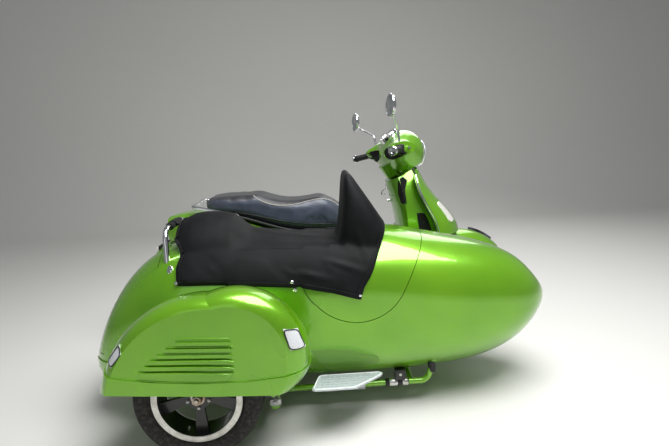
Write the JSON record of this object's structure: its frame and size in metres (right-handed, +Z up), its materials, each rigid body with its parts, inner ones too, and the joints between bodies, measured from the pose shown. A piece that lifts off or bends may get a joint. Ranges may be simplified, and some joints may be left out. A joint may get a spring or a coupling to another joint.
{
  "type": "sidecar motorcycle",
  "caption": "Scooter with a bullet-nosed passenger sidecar on its right, wheel under a louvred mudguard, cockpit closed by a buttoned cloth cover.",
  "frame": {"origin": "on the floor under the middle of the bounding box", "axes": "+X forward, +Y to the left (the scooter side), +Z up"},
  "size_m": [2.0217, 1.6057, 1.34],
  "materials": {
    "green_paint": "metallic lime green paint under clear coat",
    "chrome": "polished chrome plate",
    "tyre": "black tyre rubber",
    "black_wheel": "satin black paint with a polished edge",
    "steel": "ground steel",
    "black_frame": "semi-gloss black paint",
    "black_plastic": "grained black plastic",
    "seat_cover": "grained black vinyl",
    "cover_cloth": "matt black coated cloth",
    "engine_alloy": "cast alloy",
    "spring_steel": "dark spring steel",
    "clear_lens": "clear moulded lens",
    "red_lens": "red moulded lens",
    "plate_white": "blank white plate",
    "step_alloy": "brushed alloy step"
  },
  "bodies": {
    "outfit": {"chassis_frame": "black_frame", "engine_unit": "engine_alloy", "entry_panel": "green_paint", "floor_pan": "black_plastic", "front_turn_lamps": "chrome", "grab_hoop": "chrome", "grab_rail": "chrome", "guard_lamps": "clear_lens", "hoop_strap": "cover_cloth", "inner_shield": "green_paint", "left_cowl": "green_paint", "leg_shield": "green_paint", "number_plate": "plate_white", "rear_body": "green_paint", "rear_guard": "black_plastic", "rear_shocks": "spring_steel", "right_cowl": "green_paint", "scooter_frame": "black_frame", "sidecar_fender": "green_paint", "sidecar_shock": "spring_steel", "sidecar_tub": "green_paint", "silencer": "engine_alloy", "step_plate": "step_alloy", "struts": "black_frame", "swing_arm": "black_frame", "tail_lamp": "red_lens", "tonneau_cover": "cover_cloth"},
    "boot_lid": {"boot_lid": "green_paint"},
    "saddle": {"saddle_pan": "black_plastic", "saddle_cushion": "seat_cover"},
    "glovebox": {"glovebox_door": "green_paint"},
    "steering": {"front_fork": "black_frame", "front_shock": "spring_steel", "front_fender": "green_paint", "fender_crest": "chrome", "headset": "green_paint", "headlamp": "clear_lens", "instrument": "black_plastic", "grips": "black_plastic", "brake_levers": "chrome", "mirrors": "chrome"},
    "front_wheel": {"front_tyre": "tyre", "front_rim": "black_wheel", "front_brake_disc": "steel"},
    "rear_wheel": {"rear_tyre": "tyre", "rear_rim": "black_wheel"},
    "sidecar_wheel": {"sidecar_tyre": "tyre", "sidecar_rim": "black_wheel"}
  },
  "joints": [
    {"name": "steering", "type": "hinge", "parent": "outfit", "child": "steering", "pos_m": [0.55485, 0.42, 0.6], "axis": [-0.4462, 0, 0.8949], "range_deg": [-52, 28]},
    {"name": "front_wheel_spin", "type": "hinge", "parent": "steering", "child": "front_wheel", "pos_m": [0.77039, 0.4265, 0.23619], "axis": [-0.1861, 0.9781, -0.0928], "continuous": true},
    {"name": "rear_wheel_spin", "type": "hinge", "parent": "outfit", "child": "rear_wheel", "pos_m": [-0.599, 0.42, 0.2365], "axis": [0, 1, 0], "continuous": true},
    {"name": "sidecar_wheel_spin", "type": "hinge", "parent": "outfit", "child": "sidecar_wheel", "pos_m": [-0.509, -0.68, 0.2365], "axis": [0, 1, 0], "continuous": true},
    {"name": "saddle_hinge", "type": "hinge", "parent": "outfit", "child": "saddle", "pos_m": [0.153, 0.42, 0.614], "axis": [0, 1, 0], "range_deg": [0, 52]},
    {"name": "boot_lid_hinge", "type": "hinge", "parent": "outfit", "child": "boot_lid", "pos_m": [-0.708, -0.23, 0.7074], "axis": [0, 1, 0], "range_deg": [0, 60]},
    {"name": "glovebox_hinge", "type": "hinge", "parent": "outfit", "child": "glovebox", "pos_m": [0.405, 0.42, 0.605], "axis": [0, -1, 0], "range_deg": [0, 45]}
  ]
}
